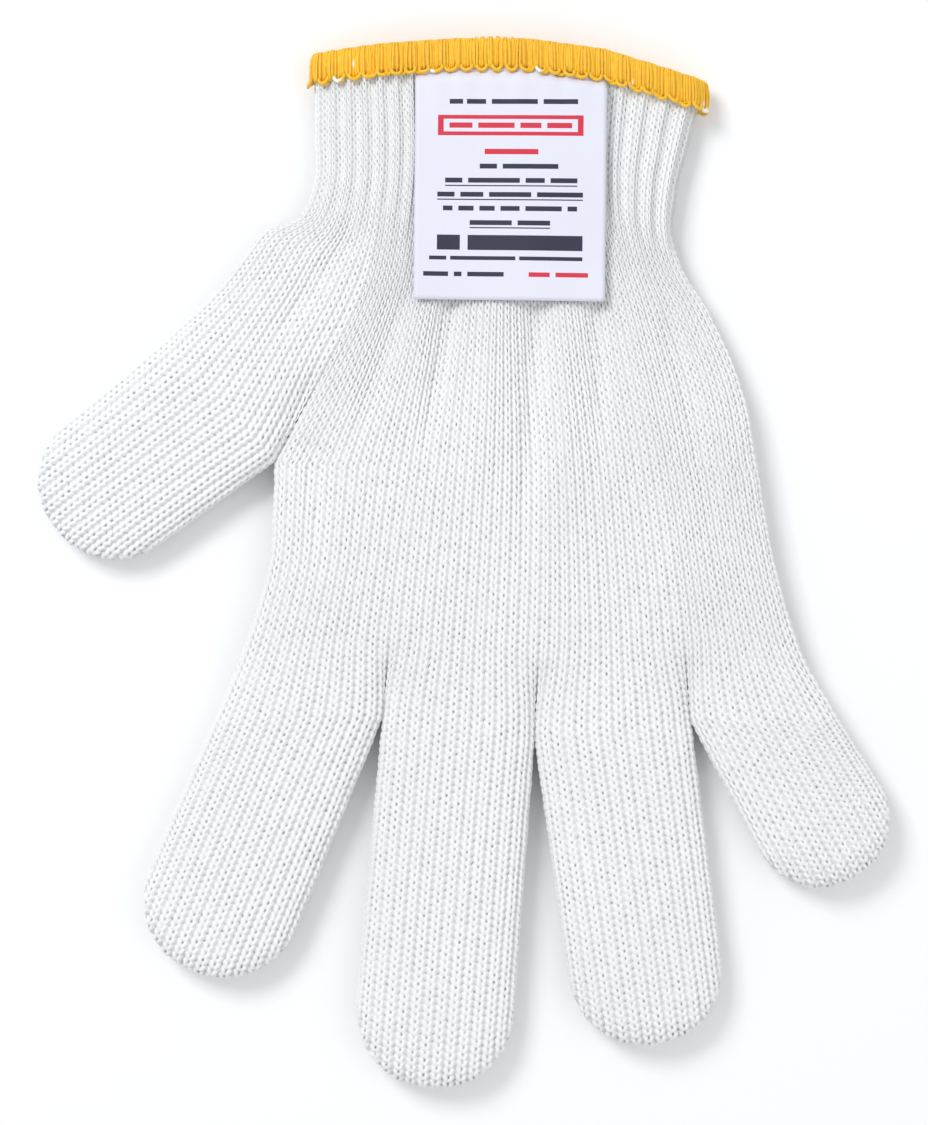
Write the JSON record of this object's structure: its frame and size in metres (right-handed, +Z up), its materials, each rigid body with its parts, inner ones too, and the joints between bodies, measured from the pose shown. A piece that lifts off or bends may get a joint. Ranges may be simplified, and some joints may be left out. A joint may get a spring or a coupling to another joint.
{
  "type": "knitted cut resistant glove",
  "caption": "Seamless knitted white cut resistant glove, laid flat, with hollow bending fingers, a ribbed elastic cuff, a yellow overlocked edge and a sewn-in printed label.",
  "frame": {"origin": "on the surface that the glove lies on, under the middle of its bounding box", "axes": "+X across the hand from thumb to little finger, +Y from the finger tips to the cuff, +Z up, out of the palm side"},
  "size_m": [0.186, 0.2298, 0.0116],
  "materials": {
    "knit": "matt bright white knitted yarn with a faint sheen",
    "edging_thread": "golden yellow textured overlock thread",
    "elastic_yarn": "covered elastic yarn",
    "label_satin": "woven satin tape, printed"
  },
  "bodies": {
    "hand": {"four_finger_palm_knit": "knit", "five_finger_palm_knit": "knit"},
    "cuff": {"wrist_knit": "knit", "cuff_rib_knit": "knit", "cuff_elastic_yarns": "elastic_yarn", "overlock_upper_looper_thread": "edging_thread", "overlock_lower_looper_thread": "edging_thread", "overlock_needle_thread": "edging_thread", "overlock_lap": "edging_thread"},
    "index_base": {"index_base_knit": "knit"},
    "index_middle": {"index_middle_knit": "knit"},
    "index_tip": {"index_tip_knit": "knit"},
    "middle_base": {"middle_base_knit": "knit"},
    "middle_middle": {"middle_middle_knit": "knit"},
    "middle_tip": {"middle_tip_knit": "knit"},
    "ring_base": {"ring_base_knit": "knit"},
    "ring_middle": {"ring_middle_knit": "knit"},
    "ring_tip": {"ring_tip_knit": "knit"},
    "little_base": {"little_base_knit": "knit"},
    "little_middle": {"little_middle_knit": "knit"},
    "little_tip": {"little_tip_knit": "knit"},
    "thumb_base": {"thumb_base_knit": "knit"},
    "thumb_tip": {"thumb_tip_knit": "knit"},
    "label": {"label": "label_satin"}
  },
  "joints": [
    {"name": "index_root_bend", "type": "hinge", "parent": "hand", "child": "index_base", "pos_m": [-0.0364, -0.0343, 0.011], "axis": [-1, 0, 0], "range_deg": [0, 80]},
    {"name": "index_middle_bend", "type": "hinge", "parent": "index_base", "child": "index_middle", "pos_m": [-0.0449, -0.05459, 0.011], "axis": [-0.9223, 0.3865, 0], "range_deg": [0, 95]},
    {"name": "index_tip_bend", "type": "hinge", "parent": "index_middle", "child": "index_tip", "pos_m": [-0.05205, -0.07165, 0.011], "axis": [-0.9223, 0.3865, 0], "range_deg": [0, 57]},
    {"name": "middle_root_bend", "type": "hinge", "parent": "hand", "child": "middle_base", "pos_m": [-0.00135, -0.0386, 0.011], "axis": [-1, 0, 0], "range_deg": [0, 80]},
    {"name": "middle_middle_bend", "type": "hinge", "parent": "middle_base", "child": "middle_middle", "pos_m": [-0.0036, -0.06551, 0.011], "axis": [-0.9965, 0.0835, 0], "range_deg": [0, 95]},
    {"name": "middle_tip_bend", "type": "hinge", "parent": "middle_middle", "child": "middle_tip", "pos_m": [-0.00561, -0.08942, 0.011], "axis": [-0.9965, 0.0835, 0], "range_deg": [0, 57]},
    {"name": "ring_root_bend", "type": "hinge", "parent": "hand", "child": "ring_base", "pos_m": [0.03225, -0.0386, 0.011], "axis": [-1, 0, 0], "range_deg": [0, 80]},
    {"name": "ring_middle_bend", "type": "hinge", "parent": "ring_base", "child": "ring_middle", "pos_m": [0.0358, -0.06284, 0.011], "axis": [-0.9895, -0.1449, 0], "range_deg": [0, 95]},
    {"name": "ring_tip_bend", "type": "hinge", "parent": "ring_middle", "child": "ring_tip", "pos_m": [0.03891, -0.08411, 0.011], "axis": [-0.9895, -0.1449, 0], "range_deg": [0, 57]},
    {"name": "little_root_bend", "type": "hinge", "parent": "hand", "child": "little_base", "pos_m": [0.0659, -0.0343, 0.011], "axis": [-1, 0, 0], "range_deg": [0, 80]},
    {"name": "little_middle_bend", "type": "hinge", "parent": "little_base", "child": "little_middle", "pos_m": [0.07323, -0.04739, 0.011], "axis": [-0.8724, -0.4887, 0], "range_deg": [0, 95]},
    {"name": "little_tip_bend", "type": "hinge", "parent": "little_middle", "child": "little_tip", "pos_m": [0.0791, -0.05786, 0.011], "axis": [-0.8724, -0.4887, 0], "range_deg": [0, 57]},
    {"name": "thumb_root_bend", "type": "hinge", "parent": "hand", "child": "thumb_base", "pos_m": [-0.05315, 0.036, 0.011], "axis": [-0.6557, 0.755, 0], "range_deg": [0, 55]},
    {"name": "thumb_tip_bend", "type": "hinge", "parent": "thumb_base", "child": "thumb_tip", "pos_m": [-0.06927, 0.02334, 0.011], "axis": [-0.6176, 0.7865, 0], "range_deg": [0, 75]},
    {"name": "wrist_bend", "type": "hinge", "parent": "hand", "child": "cuff", "pos_m": [0.008, 0.0557, 0.011], "axis": [1, 0, 0], "range_deg": [0, 60]},
    {"name": "label_lift", "type": "hinge", "parent": "cuff", "child": "label", "pos_m": [0.0103, 0.1042, 0.01145], "axis": [-1, 0, 0], "range_deg": [0, 120]}
  ],
  "couplings": [
    {"joint": "index_tip_bend", "follows": "index_middle_bend", "ratio": 0.6},
    {"joint": "middle_tip_bend", "follows": "middle_middle_bend", "ratio": 0.6},
    {"joint": "ring_tip_bend", "follows": "ring_middle_bend", "ratio": 0.6},
    {"joint": "little_tip_bend", "follows": "little_middle_bend", "ratio": 0.6}
  ]
}
